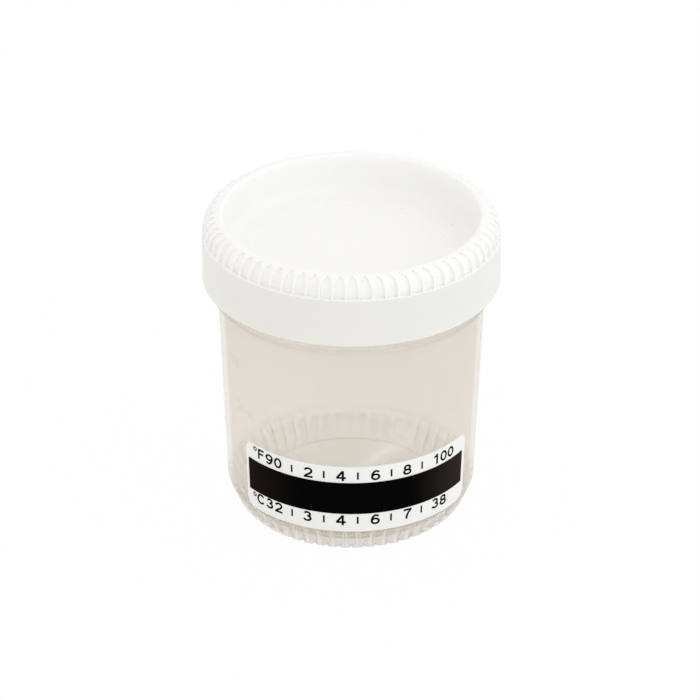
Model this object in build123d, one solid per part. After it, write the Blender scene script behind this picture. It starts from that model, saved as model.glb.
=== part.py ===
from build123d import *
from math import cos, degrees, radians, sin, tan
import os

# Specimen container: a tapered cup of natural polypropylene with a fluted foot, a white
# screw lid with a fluted shoulder and a sunk top, and a temperature strip stuck on the cup.
# Millimetres, +Z up, origin in the middle of the standing ring, front towards -Y.
# Outlines are (radius, height) and are turned once round the Z axis.

# ---- driving dimensions ----
OVERALL_HEIGHT = 67.25      # standing ring to the crest of the lid
LID_RADIUS = 30.6           # top edge of the plain band
LID_WALL = 1.2
THREAD_ROOM = 1.2           # between the skirt of the lid and the neck, for the screw threads
CUP_WALL = 1.1
CUP_TAPER = 1.3             # the wall of the cup comes in this far from its top to its foot
LID_RISE = 2.15             # crest of the lid above the lip of the cup
SLIDE_GAP = 0.3             # between the lid and the cup where they seat

# ---- cup ----
LIP_HEIGHT = OVERALL_HEIGHT - LID_RISE
LIP_ROUND = 0.4
NECK_RADIUS = LID_RADIUS - LID_WALL - THREAD_ROOM
NECK_WALL = 0.95
NECK_LENGTH = 15.8          # lip down to the top of the tapered wall
NECK_STEP = 0.6             # the neck is this much wider than the tapered wall
NECK_SLOPE = 2.3            # height of the slope inside, from the wall to the neck
SHOULDER_RADIUS = NECK_RADIUS - NECK_STEP
SHOULDER_HEIGHT = LIP_HEIGHT - NECK_LENGTH
BEAD_DEPTH = 0.55           # stop bead round the neck
BEAD_HEIGHT = 1.3
BEAD_EDGE = 0.3
FOOT_RADIUS = SHOULDER_RADIUS - CUP_TAPER
FOOT_HEIGHT = 6.25          # top of the cone of the foot
FOOT_SLOPE = 21             # angle of the cone from the axis
FOOT_CURVE = 3.2            # radius of the corner under the cone
CORNER_TOP = FOOT_CURVE * (1 - sin(radians(FOOT_SLOPE)))
CONE_WIDTH = (FOOT_HEIGHT - CORNER_TOP) * tan(radians(FOOT_SLOPE))
FOOT_RING = FOOT_RADIUS - CONE_WIDTH - FOOT_CURVE * cos(radians(FOOT_SLOPE))
RING_WIDTH = 0.9            # flat that the cup stands on
RING_HEIGHT = 0.6
FLOOR_HEIGHT = 1.9          # inside floor
FLOOR_FILLET = 2.2
FOOT_STEP = 1.6             # the wall comes in this much further behind the flutes
FOOT_STEP_HEIGHT = 6.9
FOOT_STEP_SLOPE = 1.6

# ---- lid ----
LID_DEPTH = 14.55           # crest to the lower edge
LID_BOTTOM = OVERALL_HEIGHT - LID_DEPTH
LID_DRAFT = 0.15            # the band is this much wider at its lower edge
LID_EDGE = 0.3
SKIRT_INSIDE = LID_RADIUS - LID_WALL
LEDGE_DROP = 4.15           # crest down to the top edge of the plain band
LEDGE_HEIGHT = OVERALL_HEIGHT - LEDGE_DROP
LEDGE_WIDTH = 0.1           # the shoulder starts this far in from the band
CREST_RADIUS = 3.6          # rounded shoulder
CREST_CENTRE = (LID_RADIUS - LEDGE_WIDTH - CREST_RADIUS, OVERALL_HEIGHT - CREST_RADIUS)
RIM_WIDTH = 4.25            # edge of the band in to the top of the dish
RIM_ROUND = 0.65
DISH_DEPTH = 8.35
DISH_DRAFT = 0.6
DISH_COVE = 3.1
DISH_SHELF = 2.35           # width of the flat between the cove and the lower floor
DISH_STEP = 0.12
DISH_FLOOR_WALL = 1.0
PLUG_BEVEL = 2.4            # corner of the plug under the dish
DISH_TOP_RADIUS = LID_RADIUS - RIM_WIDTH
DISH_RADIUS = DISH_TOP_RADIUS - DISH_DRAFT
DISH_FLOOR = OVERALL_HEIGHT - DISH_DEPTH
LIP_CHANNEL_ROOM = 0.55     # the channel that takes the lip is this much wider than the neck
LIP_CHANNEL_DEPTH = 3.2
LIP_CHANNEL_BEVEL = 0.7     # inside corner of that channel
LIP_CHANNEL_SLOPE = 0.8
LIP_CHANNEL_RADIUS = NECK_RADIUS + LIP_CHANNEL_ROOM
LIP_CHANNEL_TOP = LIP_HEIGHT + SLIDE_GAP
GATE_RADIUS = 0.9
GATE_HEIGHT = 0.35

# ---- flutes ----
FOOT_FLUTES = 54
FOOT_FLUTE_WIDTH = 2.5
FOOT_FLUTE_DEPTH = 1.1      # straight in from the outside
FOOT_FLUTE_TOP = 5.9        # square end above the table
FOOT_FLUTE_TIP = 0.4        # point of a flute, out from the standing ring
FOOT_FLUTE_ARCH = 2.7       # length of the pointed end
LID_FLUTES = 72
LID_FLUTE_WIDTH = 2.3
LID_FLUTE_DEPTH = 0.75
LID_FLUTE_TIP = 0.9         # point of a flute, out from the middle of the rounded shoulder
LID_FLUTE_ARCH = 2.7
FLUTE_LEAN = 50             # the flutes are cut at this slope to the table
FLUTE_PHASE = 0.4           # angle from the front to the middle of a flute
FRONT = -90                 # angle of the front about Z

# ---- temperature strip, measured along the wall ----
STRIP_LENGTH = 53.5
STRIP_WIDTH = 15.9
STRIP_LOW = 6.6             # lower edge above the table
STRIP_SHIFT = 1.8           # middle of the strip, to the right of the front
STRIP_THICKNESS = 0.2
STRIP_CORNER = 2.2
BAND_LENGTH = 51.4
BAND_WIDTH = 7.6
BAND_RISE = 4.4             # lower edge of the band above that of the strip
BAND_SHIFT = 1.65
BAND_THICKNESS = 0.1


def wall_radius(height):
    """Outside radius of the tapered cup wall."""
    return FOOT_RADIUS + CUP_TAPER * (height - FOOT_HEIGHT) / (SHOULDER_HEIGHT - FOOT_HEIGHT)


def turned(*edges, angle=360):
    """Solid made by turning a closed (radius, height) outline about Z."""
    return revolve(Plane.XZ * make_face(Curve() + list(edges)), Axis.Z, angle)


def foot_outline(top, inset=0, facets=0):
    """Outside of the foot from the table up to top, moved in by inset, its corner in facets if given."""
    corner = CenterArc((FOOT_RING - inset, FOOT_CURVE), FOOT_CURVE, -90, 90 - FOOT_SLOPE)
    cone_width = (top - CORNER_TOP) * tan(radians(FOOT_SLOPE))
    cone = Line(corner @ 1, ((corner @ 1).X + cone_width, top))
    if facets:
        corner = Polyline(*[corner @ (n / facets) for n in range(facets + 1)])
    return Curve() + [corner, cone]


def shoulder_outline(inset=0):
    """Outside of the lid's shoulder from its crest down to the ledge, moved in by inset."""
    crest = CenterArc((CREST_CENTRE[0] - inset, CREST_CENTRE[1]), CREST_RADIUS, 90, -90)
    return Curve() + [crest, Line(crest @ 1, ((crest @ 1).X, LEDGE_HEIGHT))]


def flute(centre, curve, tip_out, floor, width, arch, up):
    """Cutter for one flute at angle 0, which runs from a point on a rounded edge to a square end.

    A pointed shape is pushed square through the edge, less a block that is left below the floor
    outline and past its end. The edge is an arc round centre, above it if up is 1, and the point
    lies tip_out from the centre.
    """
    start, end = floor @ 0, floor @ 1
    tip_radius, tip_height = centre[0] + tip_out, centre[1] + up * (curve ** 2 - tip_out ** 2) ** 0.5
    reach = 2 * abs(tip_height - end.Y)
    back, front, past = start.X - reach, end.X + reach, end.Y - up * reach
    block = floor + Polyline(end, (front, end.Y), (front, past), (back, past), (back, start.Y), start)
    half = width / 2
    corner, side_top = (half, -up * reach), (half, -up * arch)
    point = TangentArc(side_top, (0, 0), tangent=(0, up))
    right = Line(corner, side_top) + Polyline(side_top, point @ 0.5, (0, 0))
    outline = make_face(right + mirror(right, Plane.YZ) + Line((-half, -up * reach), corner))
    across = Plane(origin=(tip_radius, 0, tip_height), x_dir=(0, 1, 0),
                   z_dir=Vector(1, 0, 0).rotate(Axis.Y, -up * FLUTE_LEAN))
    kept = extrude(Plane.XZ * make_face(block), width, both=True)
    return extrude(across * outline, reach, both=True) - kept


def ring_of(cutter, count):
    """The cutter repeated round the axis, one of them just right of the front."""
    return PolarLocations(0, count, start_angle=FRONT + FLUTE_PHASE) * cutter


def cup_blank():
    """The cup before its foot is fluted."""
    ring_in = FOOT_RING - RING_WIDTH
    under = Polyline((0, RING_HEIGHT), (ring_in - RING_HEIGHT / 2, RING_HEIGHT), (ring_in, 0), (FOOT_RING, 0))
    bead_radius, bead_top = NECK_RADIUS + BEAD_DEPTH, SHOULDER_HEIGHT + BEAD_HEIGHT
    outside = Polyline((FOOT_RADIUS, FOOT_HEIGHT), (SHOULDER_RADIUS, SHOULDER_HEIGHT),
                       (bead_radius, SHOULDER_HEIGHT + BEAD_HEIGHT / 3), (bead_radius, bead_top - BEAD_EDGE),
                       (NECK_RADIUS, bead_top), (NECK_RADIUS, LIP_HEIGHT - LIP_ROUND),
                       (NECK_RADIUS - LIP_ROUND, LIP_HEIGHT))
    neck_in = NECK_RADIUS - NECK_WALL
    foot_in = wall_radius(FOOT_STEP_HEIGHT) - CUP_WALL
    floor_edge = foot_in - FOOT_STEP
    slope_middle = SHOULDER_HEIGHT + BEAD_HEIGHT / 2
    inside = Polyline((NECK_RADIUS - LIP_ROUND, LIP_HEIGHT), (neck_in + LIP_ROUND / 2, LIP_HEIGHT),
                      (neck_in, LIP_HEIGHT - LIP_ROUND), (neck_in, slope_middle + NECK_SLOPE / 2),
                      (SHOULDER_RADIUS - CUP_WALL, slope_middle - NECK_SLOPE / 2),
                      (foot_in, FOOT_STEP_HEIGHT), (floor_edge, FOOT_STEP_HEIGHT - FOOT_STEP_SLOPE),
                      (floor_edge, FLOOR_HEIGHT + FLOOR_FILLET))
    corner = CenterArc((floor_edge - FLOOR_FILLET, FLOOR_HEIGHT + FLOOR_FILLET), FLOOR_FILLET, 0, -90)
    floor = Polyline((floor_edge - FLOOR_FILLET, FLOOR_HEIGHT), (0, FLOOR_HEIGHT), (0, RING_HEIGHT))
    return turned(under, *foot_outline(FOOT_HEIGHT).edges(), outside, inside, corner, floor)


def cup():
    """The cup, its foot fluted from points near the standing ring up to the wall."""
    floor = foot_outline(FOOT_FLUTE_TOP, inset=FOOT_FLUTE_DEPTH, facets=2)
    cutter = flute((FOOT_RING, FOOT_CURVE), FOOT_CURVE, FOOT_FLUTE_TIP, floor, FOOT_FLUTE_WIDTH,
                   FOOT_FLUTE_ARCH, up=-1)
    return cup_blank() - ring_of(cutter, FOOT_FLUTES)


def lid_blank():
    """The lid before its shoulder is fluted."""
    cove_r, cove_z = DISH_RADIUS - DISH_COVE, DISH_FLOOR + DISH_COVE
    step_r, step_floor = cove_r - DISH_SHELF, DISH_FLOOR - DISH_STEP
    dish = Polyline((0, step_floor + GATE_HEIGHT), (GATE_RADIUS / 2, step_floor + GATE_HEIGHT),
                    (GATE_RADIUS, step_floor), (step_r - DISH_STEP, step_floor), (step_r, DISH_FLOOR),
                    (cove_r, DISH_FLOOR))
    cove = CenterArc((cove_r, cove_z), DISH_COVE, -90, 90)
    rim_end = (DISH_TOP_RADIUS, OVERALL_HEIGHT - RIM_ROUND)
    dish_wall = Line((DISH_RADIUS, cove_z), rim_end)
    rim = TangentArc((CREST_CENTRE[0], OVERALL_HEIGHT), rim_end, tangent=(-1, 0))
    low_radius, channel_foot = LID_RADIUS + LID_DRAFT, LIP_CHANNEL_TOP - LIP_CHANNEL_DEPTH
    band = Polyline((CREST_CENTRE[0] + CREST_RADIUS, LEDGE_HEIGHT), (LID_RADIUS, LEDGE_HEIGHT),
                    (low_radius, LID_BOTTOM + LID_EDGE),
                    (low_radius - LID_EDGE, LID_BOTTOM), (SKIRT_INSIDE + LID_EDGE, LID_BOTTOM),
                    (SKIRT_INSIDE, LID_BOTTOM + LID_EDGE), (SKIRT_INSIDE, channel_foot - LIP_CHANNEL_SLOPE),
                    (LIP_CHANNEL_RADIUS, channel_foot),
                    (LIP_CHANNEL_RADIUS, LIP_CHANNEL_TOP - LIP_CHANNEL_BEVEL),
                    (LIP_CHANNEL_RADIUS - LIP_CHANNEL_BEVEL, LIP_CHANNEL_TOP))
    plug_radius = NECK_RADIUS - NECK_WALL - SLIDE_GAP
    under_floor = step_floor - DISH_FLOOR_WALL
    plug_low = cove_r + cove_z - under_floor
    under = Polyline((LIP_CHANNEL_RADIUS - LIP_CHANNEL_BEVEL, LIP_CHANNEL_TOP), (plug_radius, LIP_CHANNEL_TOP),
                     (plug_low, cove_z), (plug_low, under_floor + PLUG_BEVEL),
                     (plug_low - PLUG_BEVEL, under_floor), (0, under_floor), (0, step_floor + GATE_HEIGHT))
    return turned(dish, cove, dish_wall, rim, *shoulder_outline().edges(), band, under)


def lid():
    """The lid, its shoulder fluted from points near the crest down to the ledge of the band."""
    cutter = flute(CREST_CENTRE, CREST_RADIUS, LID_FLUTE_TIP, shoulder_outline(inset=LID_FLUTE_DEPTH),
                   LID_FLUTE_WIDTH, LID_FLUTE_ARCH, up=1)
    return lid_blank() - ring_of(cutter, LID_FLUTES)


def on_wall(length, width, low, shift, lift, thickness):
    """A thin sheet of this length and width that follows the cup wall."""
    high = low + width
    inner_low, inner_high = wall_radius(low) + lift, wall_radius(high) + lift
    per_mm = degrees(1 / wall_radius((low + high) / 2))
    sheet = turned(Polyline((inner_low, low), (inner_low + thickness, low), (inner_high + thickness, high),
                            (inner_high, high), (inner_low, low)), angle=length * per_mm)
    return Rot(0, 0, FRONT + (shift - length / 2) * per_mm) * sheet


def temperature_strip():
    """The white film, with rounded corners."""
    sheet = on_wall(STRIP_LENGTH, STRIP_WIDTH, STRIP_LOW, STRIP_SHIFT, 0, STRIP_THICKNESS)
    corners = sheet.edges().filter_by(lambda edge: edge.length < 2 * STRIP_THICKNESS)
    return fillet(corners, STRIP_CORNER)


def crystal_band():
    """The black band that carries the figures, on top of the white film."""
    low = STRIP_LOW + BAND_RISE
    return on_wall(BAND_LENGTH, BAND_WIDTH, low, BAND_SHIFT, STRIP_THICKNESS, BAND_THICKNESS)


os.makedirs("parts", exist_ok=True)
export_step(cup(), "parts/cup.step")
export_step(lid(), "parts/lid.step")
export_step(temperature_strip(), "parts/temperature_strip.step")
export_step(crystal_band(), "parts/crystal_band.step")
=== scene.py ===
# %% [markdown]
# # Specimen container with a screw lid and a temperature strip
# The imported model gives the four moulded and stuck-on parts at their real size: the cup, the
# lid, the white film and the black band on it. This notebook dresses them. It gives each part
# its plastic or film, cuts the screw threads, prints the scales, raises the volume marks and
# sets up plain studio light. Everything is in metres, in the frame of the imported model.

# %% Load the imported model
import bmesh
import bpy
from math import cos, pi, radians, sin
from mathutils import Matrix, Vector


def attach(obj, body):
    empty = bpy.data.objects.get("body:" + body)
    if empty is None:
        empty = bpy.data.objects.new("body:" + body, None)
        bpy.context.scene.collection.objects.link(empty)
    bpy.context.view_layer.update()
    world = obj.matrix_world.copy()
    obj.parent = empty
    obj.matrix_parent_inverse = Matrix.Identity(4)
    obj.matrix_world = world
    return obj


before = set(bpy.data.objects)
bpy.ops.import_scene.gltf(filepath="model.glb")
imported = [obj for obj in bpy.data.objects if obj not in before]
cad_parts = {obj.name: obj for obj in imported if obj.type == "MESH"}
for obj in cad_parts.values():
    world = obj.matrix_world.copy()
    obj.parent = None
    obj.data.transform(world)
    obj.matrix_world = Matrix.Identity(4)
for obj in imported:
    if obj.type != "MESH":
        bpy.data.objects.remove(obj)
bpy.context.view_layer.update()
MM = 0.001
print("nodes:", sorted(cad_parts))

# %% [markdown]
# ## Camera
# A long lens a little over half a metre away, looking down at 30 degrees. A long lens keeps the
# sides of the cup nearly upright. Rotations are chained as matrices, so the hair of roll is
# about the camera's own axis, which plain Euler angles can't say.

# %% Camera
TARGET, DISTANCE = Vector((0, 0, 34.59)) * MM, 609.15 * MM
ELEVATION, ROLL = radians(29.75), radians(0.16)

lens = bpy.data.cameras.new("studio_camera")
lens.lens, lens.sensor_width, lens.shift_x = 149.51, 36, -0.00177
camera = bpy.data.objects.new("studio_camera", lens)
bpy.context.scene.collection.objects.link(camera)
place = Matrix.Translation(TARGET + DISTANCE * Vector((0, -cos(ELEVATION), sin(ELEVATION))))
camera.matrix_world = place @ Matrix.Rotation(pi / 2 - ELEVATION, 4, "X") @ Matrix.Rotation(ROLL, 4, "Z")
bpy.context.scene.camera = camera
print("camera at", tuple(round(v, 4) for v in camera.location))

# %% [markdown]
# ## Nodes without clutter
# Every finish below is a small node tree, and a few helpers keep them short. The first adds a
# node and fills its sockets, where a filling is a number or another node's output. The second
# starts a material with its pattern on Object coordinates, which stay fixed to the part. The
# rest do one step of arithmetic, a soft ramp, a blend of two values, and small specks of dirt.

# %% Helpers for node trees
def node(tree, kind, settings=None, **sockets):
    """Adds a node. A socket is named with _ for a space, or by its number as in _0."""
    made = tree.nodes.new(kind)
    for name, value in (settings or {}).items():
        setattr(made, name, value)
    for name, value in sockets.items():
        key = int(name[1:]) if name[1:].isdigit() else name.replace("_", " ")
        if isinstance(value, bpy.types.NodeSocket):
            tree.links.new(value, made.inputs[key])
        else:
            made.inputs[key].default_value = value
    return made


def finish_called(name):
    """An empty material and the output of its Object coordinates, in metres."""
    material = bpy.data.materials.new(name)
    material.use_nodes = True
    material.node_tree.nodes.clear()
    where = node(material.node_tree, "ShaderNodeTexCoord").outputs["Object"]
    return material, material.node_tree, where


def maths(tree, operation, *values):
    """One step of arithmetic, on numbers or outputs."""
    return node(tree, "ShaderNodeMath", {"operation": operation},
                **{f"_{n}": value for n, value in enumerate(values)}).outputs[0]


def times(tree, first, *others):
    """The product of two or more values."""
    for other in others:
        first = maths(tree, "MULTIPLY", first, other)
    return first


def ramp(tree, value, start, stop, low=0.0, high=1.0):
    """Goes smoothly from low at start to high at stop."""
    return node(tree, "ShaderNodeMapRange", {"interpolation_type": "SMOOTHSTEP"}, Value=value,
                From_Min=start, From_Max=stop, To_Min=low, To_Max=high).outputs["Result"]


def mixed_value(tree, share, low, high):
    """low where share is 0 and high where it is 1."""
    return maths(tree, "MULTIPLY_ADD", share, maths(tree, "SUBTRACT", high, low), low)


def mixed(tree, share, first, second):
    """A colour between two, each a triple or an output."""
    mix = node(tree, "ShaderNodeMix", {"data_type": "RGBA"})
    for key, value in (("Factor", share), ("A", first), ("B", second)):
        socket = mix.inputs[key]
        if isinstance(value, bpy.types.NodeSocket):
            tree.links.new(value, socket)
        else:
            socket.default_value = (*value, 1) if isinstance(value, tuple) else value
    return mix.outputs["Result"]


SPECK_CORE = 0.4


def specked(tree, where, colour, specks):
    """A colour with small specks of dirt: place and radius in millimetres, and tint."""
    for place, size, tint in specks:
        far = node(tree, "ShaderNodeVectorMath", {"operation": "DISTANCE"}, _0=where,
                   _1=tuple(value * MM for value in place)).outputs["Value"]
        colour = mixed(tree, ramp(tree, far, size * MM, SPECK_CORE * size * MM), colour, tint)
    return colour


def show(tree, shader):
    """Ends a material with its shader."""
    node(tree, "ShaderNodeOutputMaterial", Surface=shader)


print("helpers ready")

# %% [markdown]
# ## Natural polypropylene
# Unpigmented polypropylene is milky. A thin wall passes part of the light straight through and
# scatters the rest, both back and forward, so a surface is a mix of three shaders: a plain
# plastic one, Translucent for light scattered on through the wall, and Transparent for what is
# seen through it. Volume scatter would do this too, but is slow and noisy in a thin wall. A
# broad noise makes the haze uneven, and a fine one gives the skin its satin.
#
# In the foot the thickness changes: the flutes leave windows between ribs. The edges of the flutes
# and their square tops are painted paler, a painted highlight for light that runs along the wall and
# comes out there. On the inner skin they are also almost clear, which makes them show from across
# the cup. Everything else in the foot is painted darker, a painted shade. The edges of a fold in the
# floor, its inside and a thin ring round it are painted paler too, painted highlights. The pattern is
# worked out from the angle round the cup, the distance from the axis and the height. Its numbers are
# the sizes of the flutes as they look through the wall.

# %% Painted light and shade of the fluted foot
SOFT = 0.1 * MM
FLUTES, FLUTE_START, FLUTE_HALF, RIB_PITCH = 54, radians(-89.6), 1.12 * MM, 2.85 * MM
FLUTE_TOP, FOOT_TOP = 5.9 * MM, 6.6 * MM
EDGE_TIP, EDGE_FULL, EDGE_LINE = 20.7 * MM, 22.7 * MM, 0.2 * MM
CAP_LOW, CAP_HIGH, CAP_OUT = 5.35 * MM, 6.1 * MM, 25 * MM
NOT_FLOOR, ON_FLOOR = 5 * MM, 4 * MM
RING_LINE, RING_HIGHLIGHT_SHARE = 19.1 * MM, 0.5
FOLD_START, FOLD_LENGTH, FOLD_TURN = (1.85 * MM, 6.7 * MM), 17.1 * MM, radians(52)
FOLD_HALF, FOLD_SPREAD, FOLD_HIGHLIGHT_SHARE = 0.25 * MM, 0.12, 0.55
SKIN_START, SKIN_SLOPE = 19.74 * MM, 0.875      # a cone halfway between the inner and outer skin


def polar(tree, where):
    """Distance from the axis, angle round it and height."""
    x, y, z = node(tree, "ShaderNodeSeparateXYZ", Vector=where).outputs
    squares = maths(tree, "ADD", times(tree, x, x), times(tree, y, y))
    return maths(tree, "SQRT", squares), maths(tree, "ARCTAN2", y, x), z


def band(tree, value, low, high):
    """1 between low and high, and smoothly 0 outside."""
    return times(tree, ramp(tree, value, low - SOFT, low), ramp(tree, value, high + SOFT, high))


def flute_edge_highlights(tree, radius, angle, z):
    """1 on the edges of the flutes and on their square tops, where a highlight is painted."""
    turn = times(tree, maths(tree, "SUBTRACT", angle, FLUTE_START - pi / FLUTES), FLUTES / (2 * pi))
    step = maths(tree, "SUBTRACT", maths(tree, "FRACT", turn), 0.5)
    beside = times(tree, maths(tree, "ABSOLUTE", step), RIB_PITCH)
    half = times(tree, maths(tree, "SQRT", ramp(tree, radius, EDGE_TIP, EDGE_FULL)), FLUTE_HALF)
    off = maths(tree, "ABSOLUTE", maths(tree, "SUBTRACT", beside, half))
    edge = times(tree, ramp(tree, off, EDGE_LINE, EDGE_LINE / 2), ramp(tree, z, CAP_HIGH, CAP_HIGH - SOFT),
                 ramp(tree, radius, EDGE_TIP - 2 * SOFT, EDGE_TIP))
    cap = times(tree, band(tree, z, CAP_LOW, CAP_HIGH), ramp(tree, radius, CAP_OUT, CAP_OUT - SOFT),
                ramp(tree, beside, FLUTE_HALF, FLUTE_HALF - SOFT))
    return maths(tree, "MAXIMUM", edge, cap)


def fold_highlight_pattern(tree, where, z):
    """1 on the two edges of the fold in the floor, and 1 between them, where a highlight is painted."""
    flat = node(tree, "ShaderNodeMapping", {"vector_type": "TEXTURE"}, Vector=where,
                Location=(*FOLD_START, 0.0), Rotation=(0.0, 0.0, FOLD_TURN)).outputs[0]
    along, across, _ = node(tree, "ShaderNodeSeparateXYZ", Vector=flat).outputs
    beside = maths(tree, "ABSOLUTE", across)
    half = maths(tree, "MULTIPLY_ADD", along, FOLD_SPREAD, FOLD_HALF)
    off = maths(tree, "ABSOLUTE", maths(tree, "SUBTRACT", beside, half))
    on_it = times(tree, band(tree, along, 0.0, FOLD_LENGTH), ramp(tree, z, NOT_FLOOR, ON_FLOOR))
    within = ramp(tree, maths(tree, "SUBTRACT", half, beside), 0.0, 2 * SOFT)
    return times(tree, ramp(tree, off, 3 * SOFT, SOFT), on_it), times(tree, within, on_it)


def foot_painted_light_and_shade(tree, where):
    """How far a place has painted highlight, painted shade and lies on the inner skin, each from 0 to 1."""
    radius, angle, z = polar(tree, where)
    fold_edge_highlight, in_fold = fold_highlight_pattern(tree, where, z)
    # A thin ring on the floor, painted paler: a painted highlight. The fold's edges and inside get painted
    # highlights too.
    ring = times(tree, band(tree, radius, RING_LINE - SOFT, RING_LINE + SOFT),
                 ramp(tree, z, NOT_FLOOR, ON_FLOOR))
    painted_light = flute_edge_highlights(tree, radius, angle, z)
    for lighter, weight in ((fold_edge_highlight, 1.0), (in_fold, FOLD_HIGHLIGHT_SHARE), (ring, RING_HIGHLIGHT_SHARE)):
        painted_light = maths(tree, "MAXIMUM", painted_light, times(tree, lighter, weight))
    painted_shade = times(tree, ramp(tree, z, FOOT_TOP, FLUTE_TOP), maths(tree, "SUBTRACT", 1.0, in_fold))
    middle = maths(tree, "MULTIPLY_ADD", z, SKIN_SLOPE, SKIN_START)
    inside = ramp(tree, maths(tree, "SUBTRACT", radius, middle), 2 * SOFT, -2 * SOFT)
    return painted_light, painted_shade, inside


print(FLUTES, "flutes in the pattern, one every", round(360 / FLUTES, 2), "degrees")

# %% Natural polypropylene
# The dark tint is painted shade over the foot's windows, and the pale tint is a painted highlight on flute
# edges, tops, the fold and the ring. A dull place is one with painted shade, and a bright place is one with a
# painted highlight.
PAINTED_SHADE_TINT, PAINTED_LIGHT_TINT = (0.50, 0.41, 0.30), (1.0, 0.98, 0.95)
PAINTED_SHADE_SHARE, PAINTED_SHADE_LOSS = 0.58, 0.02              # how far a dull place turns, and the clearness it loses
EDGE_CLEAR, OUTER_CLEAR = 0.97, 0.70            # clearness of bright places on the inner and outer skin
CUP_SPECKS = (((-19.85, -17.97, 21.99), 0.5, (0.75, 0.62, 0.25)),
              ((12.58, 12.08, 1.90), 0.35, (0.25, 0.2, 0.15)))


def polypropylene(name, tint_low, tint_high, clear, forward=0.6):
    """Milky plastic between two tints.

    clear is the share of light that goes straight through one surface, and forward is the
    share of the rest that is scattered on into the wall.
    """
    material, tree, where = finish_called(name)
    haze = node(tree, "ShaderNodeTexNoise", Vector=where, Scale=70.0, Detail=3.0, Roughness=0.55).outputs["Fac"]
    skin = node(tree, "ShaderNodeTexNoise", Vector=where, Scale=900.0, Detail=2.0).outputs["Fac"]
    painted_light, painted_shade, inside = foot_painted_light_and_shade(tree, where)
    colour = mixed(tree, haze, tint_low, tint_high)
    # Painted shade over the foot's windows first, then painted highlights on the flute edges, tops, fold and
    # ring.
    colour = mixed(tree, times(tree, painted_shade, PAINTED_SHADE_SHARE), colour, PAINTED_SHADE_TINT)
    colour = mixed(tree, painted_light, colour, PAINTED_LIGHT_TINT)
    colour = specked(tree, where, colour, CUP_SPECKS)
    relief = node(tree, "ShaderNodeBump", Height=haze, Strength=0.25, Distance=0.0006)
    surface = node(tree, "ShaderNodeBsdfPrincipled", Base_Color=colour, IOR=1.49,
                   Roughness=ramp(tree, skin, 0, 1, 0.30, 0.42), Normal=relief.outputs["Normal"])
    through = node(tree, "ShaderNodeBsdfTranslucent", Color=colour)
    milk = node(tree, "ShaderNodeMixShader", _0=forward, _1=surface.outputs[0], _2=through.outputs[0])
    window = node(tree, "ShaderNodeBsdfTransparent")
    plain_clear = maths(tree, "SUBTRACT", clear, times(tree, painted_shade, PAINTED_SHADE_LOSS))
    share = mixed_value(tree, painted_light, plain_clear, mixed_value(tree, inside, OUTER_CLEAR, EDGE_CLEAR))
    show(tree, node(tree, "ShaderNodeMixShader", _0=share, _1=milk.outputs[0], _2=window.outputs[0]).outputs[0])
    return material


natural = polypropylene("natural_polypropylene", (0.97, 0.912, 0.81), (0.99, 0.95, 0.87), clear=0.69)
print("made", natural.name)

# %% [markdown]
# ## White plastic of the lid
# The lid is pigmented white, so little light passes, but its edges are soft because light
# spreads just under the skin. Subsurface scattering over about a millimetre gives that. The
# skirt is a thin wall over a dark gap and loses a little light into it. That loss is painted in
# as shade, so the skirt's colour is a touch greyer than the solid top, which starts at the ledge
# and is painted whiter, a painted light. The skin has a faint orange peel, and its gloss varies
# with it. Three small specks of dirt lie in the dish.

# %% White plastic
SKIRT_TOP, TOP_START = 62.85 * MM, 63.05 * MM
SKIRT_IN, SOLID_OUT = 27.5 * MM, 26.5 * MM
LID_SPECKS = tuple((place, 0.3, (0.80, 0.78, 0.74)) for place in
                   ((10.65, 17.41, 58.9), (12.5, 11.08, 58.9), (20.84, 10.08, 58.9)))


def white_plastic():
    material, tree, where = finish_called("white_plastic")
    height = node(tree, "ShaderNodeSeparateXYZ", Vector=where).outputs["Z"]
    level = node(tree, "ShaderNodeVectorMath", {"operation": "MULTIPLY"}, _0=where, _1=(1, 1, 0))
    out = node(tree, "ShaderNodeVectorMath", {"operation": "LENGTH"}, _0=level.outputs[0])
    peel = node(tree, "ShaderNodeTexNoise", Vector=where, Scale=420.0, Detail=2.0).outputs["Fac"]
    clouds = node(tree, "ShaderNodeTexNoise", Vector=where, Scale=60.0, Detail=2.0).outputs["Fac"]
    # The skirt's greyer colour is painted shade, and the top's whiter colour is painted light. The top's share
    # follows height and distance from the axis.
    skirt_painted_shade = mixed(tree, clouds, (0.815, 0.815, 0.79), (0.845, 0.845, 0.82))
    top_painted_light = mixed(tree, clouds, (0.955, 0.955, 0.95), (0.975, 0.975, 0.97))
    painted_top_light_share = maths(tree, "MAXIMUM", ramp(tree, height, SKIRT_TOP, TOP_START),
                  ramp(tree, out.outputs["Value"], SKIRT_IN, SOLID_OUT))
    relief = node(tree, "ShaderNodeBump", Height=peel, Strength=0.12, Distance=0.0002)
    surface = node(tree, "ShaderNodeBsdfPrincipled", IOR=1.49,
                   Base_Color=specked(tree, where, mixed(tree, painted_top_light_share, skirt_painted_shade, top_painted_light), LID_SPECKS),
                   Roughness=ramp(tree, peel, 0, 1, 0.30, 0.42), Normal=relief.outputs["Normal"],
                   Subsurface_Weight=0.35, Subsurface_Scale=0.0012, Subsurface_Radius=(1.0, 0.95, 0.9))
    show(tree, surface.outputs[0])
    return material


lid_white = white_plastic()
print("made", lid_white.name)

# %% [markdown]
# ## Films and ink
# The strip is a white polyester film with a black band that hides the heat-sensitive crystals.
# Both are smooth. The band is not one flat black: a little brown is painted toward its two ends, a
# painted reflection of its sheen, so its colour follows the distance from the middle. The ink of the
# figures is a flat black with a slightly uneven coat.

# %% Films and ink
LEFT_SHEEN_SPAN, RIGHT_SHEEN_SPAN = (-10 * MM, -22 * MM), (12 * MM, 24 * MM)


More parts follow.
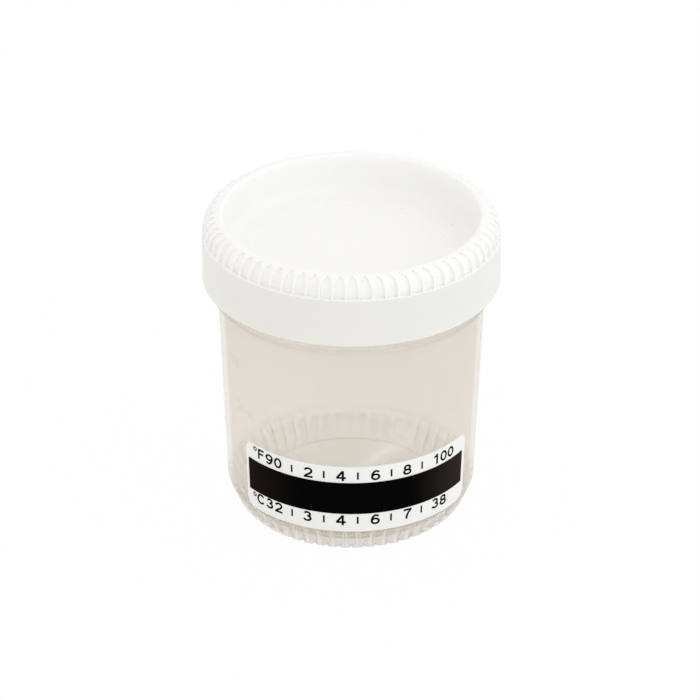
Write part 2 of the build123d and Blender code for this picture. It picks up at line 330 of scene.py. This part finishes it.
def film(name, tint_a, tint_b, roughness, shine=0.5, left=None, right=None):
    """A smooth film. A painted reflection may turn its tint to another toward its left and right ends."""
    material, tree, where = finish_called(name)
    coat = node(tree, "ShaderNodeTexNoise", Vector=where, Scale=350.0, Detail=3.0).outputs["Fac"]
    colour = mixed(tree, coat, tint_a, tint_b)
    across = node(tree, "ShaderNodeSeparateXYZ", Vector=where).outputs["X"]
    if left:
        colour = mixed(tree, ramp(tree, across, *LEFT_SHEEN_SPAN), colour, left)
    if right:
        colour = mixed(tree, ramp(tree, across, *RIGHT_SHEEN_SPAN), colour, right)
    surface = node(tree, "ShaderNodeBsdfPrincipled", Base_Color=colour, IOR=1.5, Specular_IOR_Level=shine,
                   Roughness=ramp(tree, coat, 0, 1, roughness - 0.04, roughness + 0.04))
    show(tree, surface.outputs[0])
    return material


white_film = film("white_film", (0.87, 0.875, 0.865), (0.91, 0.915, 0.905), 0.38)
# The black band's brown left and right tints are a painted reflection toward its ends.
black_film = film("black_film", (0.0010, 0.0009, 0.0009), (0.0016, 0.0013, 0.0013), 0.50, shine=0.01,
                  left=(0.009, 0.0055, 0.0045), right=(0.024, 0.017, 0.0135))
ink = film("black_ink", (0.002, 0.002, 0.002), (0.004, 0.0038, 0.0038), 0.55, shine=0.02)
print("made", white_film.name, black_film.name, ink.name)

# %% [markdown]
# ## Dress the moulded parts
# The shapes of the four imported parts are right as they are, so they only get their finish in
# their material slots.

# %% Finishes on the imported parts
for name, finish in (("cup", natural), ("lid", lid_white),
                     ("temperature_strip", white_film), ("crystal_band", black_film)):
    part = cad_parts[name]
    part.data.materials.clear()
    part.data.materials.append(finish)
    print(name, "is", finish.name, "with", len(part.data.polygons), "faces")

# %% [markdown]
# ## Geometry Nodes in short
# What repeats or follows a path is made by Geometry Nodes. A tree has named inputs for its
# sizes and ends in Realize Instances and Set Material. The helper below puts the tree on an
# empty mesh, sets the inputs by their identifiers, reads the result back as a plain mesh and
# drops the modifier, so the finished piece is an ordinary mesh at the origin.

# %% Helpers for Geometry Nodes
def tree_called(name, **inputs):
    """A Geometry Nodes tree with one named input for each size, and its input node."""
    tree = bpy.data.node_groups.new(name, "GeometryNodeTree")
    tree.interface.new_socket("Paths", in_out="INPUT", socket_type="NodeSocketGeometry")
    kinds = {int: "NodeSocketInt", float: "NodeSocketFloat", tuple: "NodeSocketVector"}
    for label, value in inputs.items():
        socket = tree.interface.new_socket(label.replace("_", " "), in_out="INPUT",
                                           socket_type=kinds[type(value)])
        socket.default_value = value
    tree.interface.new_socket("Finish", in_out="INPUT", socket_type="NodeSocketMaterial")
    tree.interface.new_socket("Geometry", in_out="OUTPUT", socket_type="NodeSocketGeometry")
    return tree, node(tree, "NodeGroupInput").outputs


def end_tree(tree, geometry, finish):
    """Makes instances real, sets the finish and puts out the result."""
    real = node(tree, "GeometryNodeRealizeInstances", Geometry=geometry)
    painted = node(tree, "GeometryNodeSetMaterial", Geometry=real.outputs[0], Material=finish)
    node(tree, "NodeGroupOutput", _0=painted.outputs[0])


def made_by(tree, name, finish, paths=(), **values):
    """Runs a tree on a mesh of paths, which may be empty, and keeps the result as a plain mesh.

    A path is a list of points, and is closed when it ends where it starts.
    """
    host = bpy.data.objects.new(name, bpy.data.meshes.new(name))
    points, edges = [], []
    for path in paths:
        first, loop = len(points), path[0] == path[-1]
        points += path[:-1] if loop else path
        last = len(points) - 1
        edges += [(i, i + 1) for i in range(first, last)]
        edges += [(last, first)] if loop else []
    host.data.from_pydata(points, edges, [])
    bpy.context.scene.collection.objects.link(host)
    nodes_modifier = host.modifiers.new("nodes", "NODES")
    nodes_modifier.node_group = tree
    for item in tree.interface.items_tree:
        if item.in_out == "INPUT" and item.socket_type != "NodeSocketGeometry":
            given = values.get(item.name.replace(" ", "_"), item.default_value)
            nodes_modifier[item.identifier] = finish if item.name == "Finish" else given
    bpy.context.view_layer.update()
    result = host.evaluated_get(bpy.context.evaluated_depsgraph_get())
    host.data = bpy.data.meshes.new_from_object(result)
    host.modifiers.clear()
    return host


WALL_LOW, WALL_RADIUS, WALL_TALL, WALL_SPREAD = 6.25 * MM, 26.3 * MM, 43.05 * MM, 1.3 * MM
TAPER = WALL_SPREAD / WALL_TALL
FOOT_RADIUS = WALL_RADIUS - TAPER * WALL_LOW     # where the cone of the wall would meet the floor


def wall_radius(height):
    """Outside radius of the tapered cup wall at a height, in metres."""
    return FOOT_RADIUS + TAPER * height


print("wall radius at mid height:", round(wall_radius(0.03) / MM, 2), "mm")

# %% [markdown]
# ## Screw threads
# A screw thread is a profile that follows a helix. On the mould it is a groove cut by a
# turning tool, so its ends fade out. Here a spiral curve carries a trapezoid, and the profile
# is scaled to nothing at both ends. The same tree makes the ridge round the neck and, turned
# inward, the one inside the lid. The two ridges miss each other by a hair, so that the lid can
# be lifted straight off in the model, which stands in for unscrewing it.

# %% Thread tree
def thread_tree():
    """A trapezoid swept along a helix, fading at both ends."""
    tree, sizes = tree_called("screw_thread", Radius=0.0282, Depth=0.0005, Pitch=0.0036, Turns=1.75,
                              Foot=0.0009, Start_Height=0.053, Start_Angle=0.0, Fade=0.06)
    height = times(tree, sizes["Pitch"], sizes["Turns"])
    helix = node(tree, "GeometryNodeCurveSpiral", Resolution=72, Rotations=sizes["Turns"],
                 Start_Radius=sizes["Radius"], End_Radius=sizes["Radius"], Height=height)
    upright = node(tree, "GeometryNodeSetCurveNormal", {"mode": "Z_UP"}, Curve=helix.outputs[0])
    along = node(tree, "GeometryNodeSplineParameter").outputs["Factor"]
    nearest = maths(tree, "MINIMUM", along, maths(tree, "SUBTRACT", 1.0, along))
    fade = node(tree, "ShaderNodeMapRange", Value=nearest, From_Max=sizes["Fade"], To_Min=0.02)
    corners = []
    for out, up in ((-0.3, 1.0), (1.0, 0.45), (1.0, -0.45), (-0.3, -1.0)):
        corner = node(tree, "ShaderNodeCombineXYZ", X=times(tree, sizes["Depth"], out),
                      Y=times(tree, sizes["Foot"], up))
        corners.append(corner.outputs[0])
    profile = node(tree, "GeometryNodeCurvePrimitiveQuadrilateral", {"mode": "POINTS"},
                   Point_1=corners[0], Point_2=corners[1], Point_3=corners[2], Point_4=corners[3])
    ridge = node(tree, "GeometryNodeCurveToMesh", Curve=upright.outputs[0], Profile_Curve=profile.outputs[0],
                 Scale=fade.outputs["Result"], Fill_Caps=True)
    lift = node(tree, "ShaderNodeCombineXYZ", Z=sizes["Start Height"])
    turn = node(tree, "ShaderNodeCombineXYZ", Z=sizes["Start Angle"])
    placed = node(tree, "GeometryNodeTransform", Geometry=ridge.outputs[0], Translation=lift.outputs[0],
                  Rotation=turn.outputs[0])
    end_tree(tree, placed.outputs[0], sizes["Finish"])
    return tree


thread = thread_tree()
print("thread tree has", len(thread.nodes), "nodes")

# %% Threads on the neck and in the lid
def closed(piece):
    """Merges doubled points and turns every face outwards."""
    shape = bmesh.new()
    shape.from_mesh(piece.data)
    bmesh.ops.remove_doubles(shape, verts=shape.verts, dist=1e-7)
    bmesh.ops.recalc_face_normals(shape, faces=shape.faces)
    shape.to_mesh(piece.data)
    shape.free()
    return piece


neck_thread = closed(made_by(thread, "neck_thread", natural))
lid_thread = closed(made_by(thread, "lid_thread", lid_white, Radius=0.0294, Depth=-0.0005,
                            Start_Height=0.0548, Turns=1.6, Start_Angle=2.0))
for piece, body, slot in ((neck_thread, "cup", "natural_polypropylene"),
                          (lid_thread, "lid", "white_plastic")):
    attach(piece, body)
    radii = [v.co.xy.length / MM for v in piece.data.vertices]
    print(piece.name, "radius", round(min(radii), 2), "to", round(max(radii), 2), "mm")

# %% [markdown]
# ## Marks on a tapered wall
# Everything printed or raised on the wall is laid out flat first, with x along the wall, y up
# and z out of it, as a printer would. The last step of each tree then moves every point onto
# the cone of the wall: its x becomes an angle, its y a height and its z a hair of radius.

# %% Bend a flat layout onto the wall
def onto_wall(tree, geometry, sizes):
    """Moves every point of a flat layout onto the cone of the wall."""
    place = node(tree, "GeometryNodeInputPosition")
    x, y, z = node(tree, "ShaderNodeSeparateXYZ", Vector=place.outputs[0]).outputs
    wall = maths(tree, "MULTIPLY_ADD", y, sizes["Taper"], sizes["Foot Radius"])
    angle = maths(tree, "DIVIDE", x, wall)
    radius = maths(tree, "ADD", maths(tree, "ADD", wall, sizes["Lift"]), z)
    right = times(tree, radius, maths(tree, "SINE", angle))
    back = times(tree, radius, maths(tree, "COSINE", angle), -1.0)
    bent = node(tree, "ShaderNodeCombineXYZ", X=right, Y=back, Z=y)
    return node(tree, "GeometryNodeSetPosition", Geometry=geometry, Position=bent.outputs[0]).outputs[0]


# %% Tree for bars in a row
def row_tree():
    """Equal bars in a row along the wall."""
    tree, sizes = tree_called("bars_in_a_row", Count=5, Step=(0.00696, 0.0, 0.0), First=(-0.0125, 0.02035, 0.0),
                              Bar=(0.0004, 0.0018, 0.0001), Lift=0.0003, Foot_Radius=FOOT_RADIUS, Taper=TAPER)
    line = node(tree, "GeometryNodeMeshLine", Count=sizes["Count"], Start_Location=sizes["First"],
                Offset=sizes["Step"])
    bar = node(tree, "GeometryNodeMeshCube", Size=sizes["Bar"], Vertices_X=9, Vertices_Y=2, Vertices_Z=2)
    bars = node(tree, "GeometryNodeInstanceOnPoints", Points=line.outputs[0], Instance=bar.outputs[0])
    flat = node(tree, "GeometryNodeRealizeInstances", Geometry=bars.outputs[0])
    end_tree(tree, onto_wall(tree, flat.outputs[0], sizes), sizes["Finish"])
    return tree


row = row_tree()
print("row tree has", len(row.nodes), "nodes")

# %% Ticks of the two scales
INK, FILM_TOP = 0.02 * MM, 0.2 * MM
FIRST_TICK, TICK_WIDE, TICK_TALL = -12.5 * MM, 0.38 * MM, 1.75 * MM
for name, height in (("ticks_fahrenheit", 20.35), ("ticks_celsius", 9.38)):
    ticks = closed(made_by(row, name, ink, First=(FIRST_TICK, height * MM, 0.0),
                           Bar=(TICK_WIDE, TICK_TALL, 2 * INK), Lift=FILM_TOP))
    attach(ticks, "cup")
    print(name, len(ticks.data.polygons), "faces")

# %% [markdown]
# ## Figures of the scales
# The figures are printed in a bold plain face. Each is a few pen strokes, straight or bowed, in
# a box one unit tall, and a tree sweeps a flat ribbon along them, as a plotter pen would. So a
# figure is a few points, and one input sets how bold the whole scale is.

# %% Strokes of the figures
def bow(across, up, wide, tall, start, stop, steps=14):
    """Points on part of an oval round (across, up), from start to stop in degrees."""
    angles = [radians(start + (stop - start) * n / steps) for n in range(steps + 1)]
    return [(across + wide * cos(a), up + tall * sin(a)) for a in angles]


def oval(across, up, wide, tall):
    """A closed oval, whose last point is its first."""
    points = bow(across, up, wide, tall, 90, 450, 24)
    return points[:-1] + points[:1]


SIX = [oval(0, -0.17, 0.245, 0.245),
       bow(0.06, -0.12, 0.305, 0.535, 178, 88) + bow(0.03, 0.22, 0.2, 0.195, 80, 22, 5)]
STROKES = {
    "0": [oval(0, 0, 0.24, 0.415)],
    "1": [[(0.07, -0.5), (0.07, 0.5)], [(0.05, 0.40), (-0.05, 0.30), (-0.2, 0.245)]],
    "2": [bow(0, 0.17, 0.235, 0.245, 172, -20) + [(0.1, -0.08), (-0.12, -0.25), (-0.22, -0.4)],
          [(-0.31, -0.415), (0.315, -0.415)]],
    "3": [bow(-0.01, 0.215, 0.2, 0.2, 160, -90), bow(-0.01, -0.195, 0.24, 0.22, 90, -165)],
    "4": [[(0.12, -0.5), (0.12, 0.5)], [(0.1, 0.44), (-0.27, -0.16)], [(-0.33, -0.2), (0.33, -0.2)]],
    "5": [[(-0.22, 0.415), (0.27, 0.415)], [(-0.17, 0.44), (-0.23, -0.02)],
          bow(0, -0.15, 0.245, 0.265, 140, -160)],
    "6": SIX,
    "7": [[(-0.31, 0.415), (0.31, 0.415)], [(0.24, 0.37), (0.06, 0.12), (-0.05, -0.16), (-0.09, -0.5)]],
    "8": [oval(0, 0.21, 0.2, 0.205), oval(0, -0.2, 0.24, 0.215)],
    "9": [[(-x, -y) for x, y in path] for path in SIX],
    "F": [[(-0.2, -0.5), (-0.2, 0.5)], [(-0.2, 0.415), (0.28, 0.415)], [(-0.2, 0.03), (0.22, 0.03)]],
    "C": [bow(0.02, 0, 0.31, 0.415, 38, 322, 20)],
    "m": [[(-0.32, -0.5), (-0.32, 0.1)],
          [(-0.32, -0.05)] + bow(-0.16, -0.03, 0.15, 0.13, 150, 0, 8) + [(-0.01, -0.5)],
          [(-0.01, -0.05)] + bow(0.15, -0.03, 0.15, 0.13, 150, 0, 8) + [(0.3, -0.5)]],
    "l": [[(0, -0.5), (0, 0.5)]],
    "°": [oval(0, 0, 0.5, 0.5)],
}
print("figures drawn:", " ".join(STROKES))

# %% Tree for pen strokes
def pen_tree():
    """A flat ribbon swept along paths on the wall."""
    tree, sizes = tree_called("pen_strokes", Pen_Width=0.0004, Pen_Height=0.00004, Lift=0.0002,
                              Foot_Radius=FOOT_RADIUS, Taper=TAPER)
    lines = node(tree, "GeometryNodeMeshToCurve", Mesh=sizes["Paths"])
    flat = node(tree, "GeometryNodeSetCurveNormal", {"mode": "Z_UP"}, Curve=lines.outputs[0])
    nib = node(tree, "GeometryNodeCurvePrimitiveQuadrilateral", {"mode": "RECTANGLE"},
               Width=sizes["Pen Width"], Height=sizes["Pen Height"])
    ribbon = node(tree, "GeometryNodeCurveToMesh", Curve=flat.outputs[0], Profile_Curve=nib.outputs[0],
                  Fill_Caps=True)
    end_tree(tree, onto_wall(tree, ribbon.outputs[0], sizes), sizes["Finish"])
    return tree


pen = pen_tree()


def written(text, along, height, tall, wide=1.0):
    """Strokes of one figure in metres, centred at a place on the wall given in millimetres."""
    return [[((along + x * tall * wide) * MM, (height + y * tall) * MM, 0.0) for x, y in path]
            for path in STROKES[text]]


print("pen tree has", len(pen.nodes), "nodes")

# %% Figures of the two scales
TOP_ROW = (("F", -20.33, 20.8), ("9", -18.05, 20.64), ("0", -15.83, 20.56), ("2", -8.84, 20.32),
           ("4", -1.99, 20.32), ("6", 5.06, 20.32), ("8", 11.87, 20.33),
           ("1", 19.03, 20.45), ("0", 21.11, 20.45), ("0", 23.29, 20.45))
LOW_ROW = (("C", -20.59, 9.57), ("3", -18.09, 9.6), ("2", -15.74, 9.5), ("3", -9.06, 9.42),
           ("4", -2.0, 9.38), ("6", 5.05, 9.38), ("7", 12.07, 9.34), ("3", 18.96, 9.43), ("8", 21.24, 9.36))
FIGURE_TALL, FIGURE_WIDE, DEGREE_TALL = 2.45, 1.22, 0.8
PEN, DEGREE_PEN = 0.46 * MM, 0.253 * MM
for name, letters, degree in (("figures_fahrenheit", TOP_ROW, (-22.06, 21.57)),
                              ("figures_celsius", LOW_ROW, (-22.42, 10.05))):
    paths = [path for letter in letters for path in written(*letter, FIGURE_TALL, FIGURE_WIDE)]
    scale = closed(made_by(pen, name, ink, paths, Pen_Width=PEN, Pen_Height=2 * INK, Lift=FILM_TOP))
    mark = closed(made_by(pen, name + "_degree", ink, written("°", *degree, DEGREE_TALL),
                          Pen_Width=DEGREE_PEN, Pen_Height=2 * INK, Lift=FILM_TOP))
    for piece in (scale, mark):
        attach(piece, "cup")
        print(piece.name, len(piece.data.polygons), "faces")

# %% [markdown]
# ## Volume marks
# The mould raises the volume marks about a tenth of a millimetre on the left of the wall: 30,
# 50 and 70 ml. They are in the same plastic, so they show only by the light on their edges, and
# most of the light that meets them goes through.

# %% Volume marks
raised = polypropylene("raised_polypropylene", (0.97, 0.93, 0.86), (0.98, 0.95, 0.89), clear=0.95)
VOLUMES = (("3", -27.4, 19.4), ("0", -25.8, 19.4), ("5", -28.0, 29.5), ("0", -26.4, 29.5),
           ("m", -23.9, 29.3), ("l", -22.6, 29.4), ("7", -29.4, 39.7), ("0", -27.8, 39.7))
VOLUME_TALL, VOLUME_PEN, VOLUME_RISE = 2.3, 0.32 * MM, 0.1 * MM
paths = [path for mark in VOLUMES for path in written(*mark, VOLUME_TALL)]
numbers = closed(made_by(pen, "volume_numbers", raised, paths, Pen_Width=VOLUME_PEN,
                         Pen_Height=2 * VOLUME_RISE, Lift=0.0))
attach(numbers, "cup")
print(numbers.name, len(numbers.data.polygons), "faces")

# %% [markdown]
# ## Fold in the floor
# The floor of this cup has one moulding flaw: a thin fold of plastic that starts near the
# middle and widens to the wall, back right. It stands a fraction of a millimetre up and its
# edges catch the light. A few points along its two edges are lofted into a closed sliver. It
# has the clearer plastic of the volume marks.

# %% Fold in the floor
FOLD_RIGHT = ((1.9, 6.5), (4.35, 9.1), (6.75, 12.3), (9.3, 14.5), (11.5, 15.95), (12.6, 17.2))
FOLD_LEFT = ((1.8, 6.9), (3.95, 10.3), (5.8, 14.1), (7.85, 17.3), (9.6, 19.3), (10.6, 20.3))
FOLD_HIGH, FOLD_THIN, FOLD_SUNK, FLOOR = 0.35, 0.12, -0.1, 1.9
FOLD_SECTION = ((0, FOLD_SUNK), (0.06, FOLD_HIGH * 0.8), (0.16, FOLD_HIGH), (0.3, FOLD_THIN),
                (0.7, FOLD_THIN), (0.84, FOLD_HIGH), (0.94, FOLD_HIGH * 0.8), (1, FOLD_SUNK))


def fold_in_floor():
    """A closed sliver with two raised edges, lofted through a few places along its edges."""
    shape = bmesh.new()
    rings = []
    for (rx, ry), (lx, ly) in zip(FOLD_RIGHT, FOLD_LEFT):
        right, left = Vector((rx, ry, 0)), Vector((lx, ly, 0))
        ring = []
        for share, up in FOLD_SECTION:
            point = right.lerp(left, share) + Vector((0, 0, FLOOR + up))
            ring.append(shape.verts.new(point * MM))
        rings.append(ring)
    for a, b in zip(rings, rings[1:]):
        for i in range(len(a)):
            j = (i + 1) % len(a)
            shape.faces.new((a[i], a[j], b[j], b[i]))
    shape.faces.new(rings[0])
    shape.faces.new(rings[-1])
    piece = bpy.data.objects.new("floor_fold", bpy.data.meshes.new("floor_fold"))
    shape.to_mesh(piece.data)
    shape.free()
    bpy.context.scene.collection.objects.link(piece)
    return closed(piece)


fold = fold_in_floor()
fold.data.materials.append(raised)
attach(fold, "cup")
print(fold.name, len(fold.data.polygons), "faces")

# %% [markdown]
# ## Floor, world and lamp
# The floor and the world look white to the camera and to what mirrors or passes its rays, by
# Light Path, and are plain soft light to everything else, a little warmer from the left and
# brighter near the horizon. One large lamp to the right, a little in front and above, lifts
# that side.

# %% Floor
def seen_directly(tree):
    """1 for rays that show the background: from the camera, in a mirror or through glass."""
    ray = node(tree, "ShaderNodeLightPath").outputs
    first = maths(tree, "MAXIMUM", ray["Is Camera Ray"], ray["Is Glossy Ray"])
    return maths(tree, "MAXIMUM", first, ray["Is Transmission Ray"])


REACH, BELOW, PAPER, FLOOR_GLOW = 3, 0.05 * MM, (0.92, 0.92, 0.92, 1), 0.98
floor_mesh = bpy.data.meshes.new("studio_floor")
corners = [(x * REACH, y * REACH, 0) for x, y in ((-1, -1), (1, -1), (1, 1), (-1, 1))]
floor_mesh.from_pydata(corners, [], [(0, 1, 2, 3)])
floor = bpy.data.objects.new("studio_floor", floor_mesh)
floor.location.z = -BELOW
bpy.context.scene.collection.objects.link(floor)
paper = bpy.data.materials.new("white_paper")
paper.use_nodes = True
tree = paper.node_tree
tree.nodes.clear()
matt = node(tree, "ShaderNodeBsdfDiffuse", Color=PAPER)
glow = node(tree, "ShaderNodeEmission", Color=(1, 1, 1, 1), Strength=1.0)
share = times(tree, seen_directly(tree), FLOOR_GLOW)
show(tree, node(tree, "ShaderNodeMixShader", _0=share, _1=matt.outputs[0], _2=glow.outputs[0]).outputs[0])
floor_mesh.materials.append(paper)
print("floor ready")

# %% World and lamp
LEFT_TINT, RIGHT_TINT, TURN = (1.0, 0.98, 0.94), (1.0, 1.0, 0.995), 0.7
HORIZON, ZENITH = 1.08, 0.86

world = bpy.data.worlds.new("studio")
bpy.context.scene.world = world
world.use_nodes = True
tree = world.node_tree
tree.nodes.clear()
sky = node(tree, "ShaderNodeTexCoord").outputs["Generated"]
x, _, z = node(tree, "ShaderNodeSeparateXYZ", Vector=sky).outputs
tint = mixed(tree, ramp(tree, x, -TURN, TURN), LEFT_TINT, RIGHT_TINT)
soft = node(tree, "ShaderNodeBackground", Color=tint, Strength=ramp(tree, z, 0.2, 0.9, HORIZON, ZENITH))
white = node(tree, "ShaderNodeBackground", Color=(1, 1, 1, 1), Strength=1.0)
both = node(tree, "ShaderNodeMixShader", _0=seen_directly(tree), _1=soft.outputs[0], _2=white.outputs[0])
node(tree, "ShaderNodeOutputWorld", Surface=both.outputs[0])

panel = bpy.data.lights.new("side_panel", "AREA")
panel.shape, panel.size, panel.energy = "DISK", 1.0, 1.0
beside = bpy.data.objects.new("side_panel", panel)
beside.location = (0.6, -0.35, 0.6)
beside.rotation_euler = (Vector(beside.location) - TARGET).to_track_quat("Z", "Y").to_euler()
bpy.context.scene.collection.objects.link(beside)
print("world and lamp ready")

# %% [markdown]
# ## Finish
# Colours are shown as they are, with the Standard view transform.

# %% View transform
bpy.context.scene.view_settings.view_transform = "Standard"
